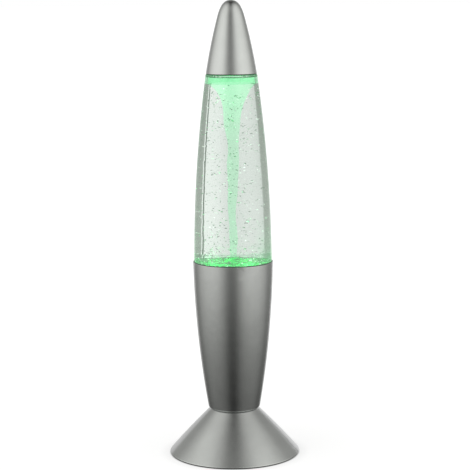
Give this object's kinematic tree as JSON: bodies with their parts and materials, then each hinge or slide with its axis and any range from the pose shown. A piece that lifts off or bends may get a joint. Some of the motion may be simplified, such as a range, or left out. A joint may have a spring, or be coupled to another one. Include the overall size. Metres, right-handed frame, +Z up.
{
  "type": "vortex glitter lamp",
  "caption": "Tapered tabletop glitter lamp: clear liquid-filled bottle with a vortex and green glow, in a satin silver cone foot, barrel and pointed cap.",
  "frame": {"origin": "middle of the four feet's soles, on the table", "axes": "+Z up the lamp's axis to the cap's tip; -Y is the front; the battery door hinges at its -Y end"},
  "size_m": [0.0992, 0.0992, 0.345],
  "materials": {
    "satin_silver": "satin silver lacquer with fine metallic flake",
    "clear_plastic": "clear, polished",
    "liquid": "clear water-based liquid",
    "dark_plastic": "fine moulded texture",
    "grey_plastic": "fine moulded texture",
    "white_plastic": "semi-matt moulded",
    "steel": "zinc plated",
    "iron": "laminated iron",
    "rubber": "matt",
    "circuit_board": "white solder mask",
    "chip_black": "epoxy",
    "led_lens": "clear epoxy lens, lit green",
    "copper": "enamelled copper",
    "brass": "bright",
    "bronze": "sintered",
    "ferrite": "ground ferrite",
    "magnet": "nickel plated",
    "cell_wrap": "printed plastic sleeve",
    "spring_steel": "nickel plated",
    "wire_red": "PVC sleeve",
    "wire_black": "PVC sleeve"
  },
  "bodies": {
    "base": {"foot_shell": "satin_silver", "barrel_shell": "satin_silver", "base_plate": "dark_plastic", "battery_springs": "spring_steel", "contact_plates": "spring_steel", "switch_housing": "dark_plastic", "switch_terminals": "brass", "switch_screws": "steel", "base_screws": "steel", "barrel_screws": "steel", "lamp_chassis": "white_plastic", "bottle_seat_ring": "rubber", "chassis_screws": "steel", "led_board": "circuit_board", "board_screws": "steel", "controller_chip": "chip_black", "board_resistors": "chip_black", "motor_can": "steel", "motor_end_cap": "dark_plastic", "motor_terminals": "brass", "motor_bushings": "bronze", "motor_screws": "steel", "lead_battery_positive": "wire_red", "lead_switched": "wire_red", "lead_battery_negative": "wire_black", "motor_lead_red": "wire_red", "motor_lead_black": "wire_black", "rubber_foot_1": "rubber", "rubber_foot_2": "rubber", "rubber_foot_3": "rubber", "rubber_foot_4": "rubber", "battery_cell_1": "cell_wrap", "led_1": "led_lens", "battery_cell_2": "cell_wrap", "led_2": "led_lens", "battery_cell_3": "cell_wrap", "led_3": "led_lens", "motor_magnet_1": "ferrite", "motor_magnet_2": "ferrite"},
    "rotor": {"motor_shaft": "steel", "motor_armature": "iron", "armature_windings": "copper", "motor_commutator": "copper", "magnet_carrier": "grey_plastic", "drive_magnet_1": "magnet", "drive_magnet_2": "magnet"},
    "bottle": {"bottle": "clear_plastic", "liquid": "liquid", "filler_plug": "white_plastic", "plug_seal": "rubber", "impeller_pin": "steel", "impeller_clip": "white_plastic"},
    "impeller": {"impeller": "clear_plastic", "impeller_magnet_1": "magnet", "impeller_magnet_2": "magnet"},
    "cap": {"cap_shell": "satin_silver", "cap_liner": "white_plastic"},
    "switch_knob": {"switch_knob": "grey_plastic"},
    "battery_door": {"battery_door": "dark_plastic"}
  },
  "joints": [
    {"name": "rotor_spin", "type": "hinge", "parent": "base", "child": "rotor", "pos_m": [0, 0, 0.1], "axis": [0, 0, 1], "continuous": true},
    {"name": "bottle_lift", "type": "slide", "parent": "base", "child": "bottle", "axis": [0, 0, 1], "range_m": [0, 0.03]},
    {"name": "impeller_spin", "type": "hinge", "parent": "bottle", "child": "impeller", "pos_m": [0, 0, 0.135], "axis": [0, 0, 1], "continuous": true},
    {"name": "cap_lift", "type": "slide", "parent": "bottle", "child": "cap", "axis": [0, 0, 1], "range_m": [0, 0.03]},
    {"name": "switch_slide", "type": "slide", "parent": "base", "child": "switch_knob", "axis": [0, -1, 0], "range_m": [0, 0.003]},
    {"name": "battery_door_hinge", "type": "hinge", "parent": "base", "child": "battery_door", "pos_m": [0, -0.024, 0.0036], "axis": [-1, 0, 0], "range_deg": [0, 100]}
  ],
  "couplings": [
    {"joint": "impeller_spin", "follows": "rotor_spin", "ratio": 1}
  ]
}
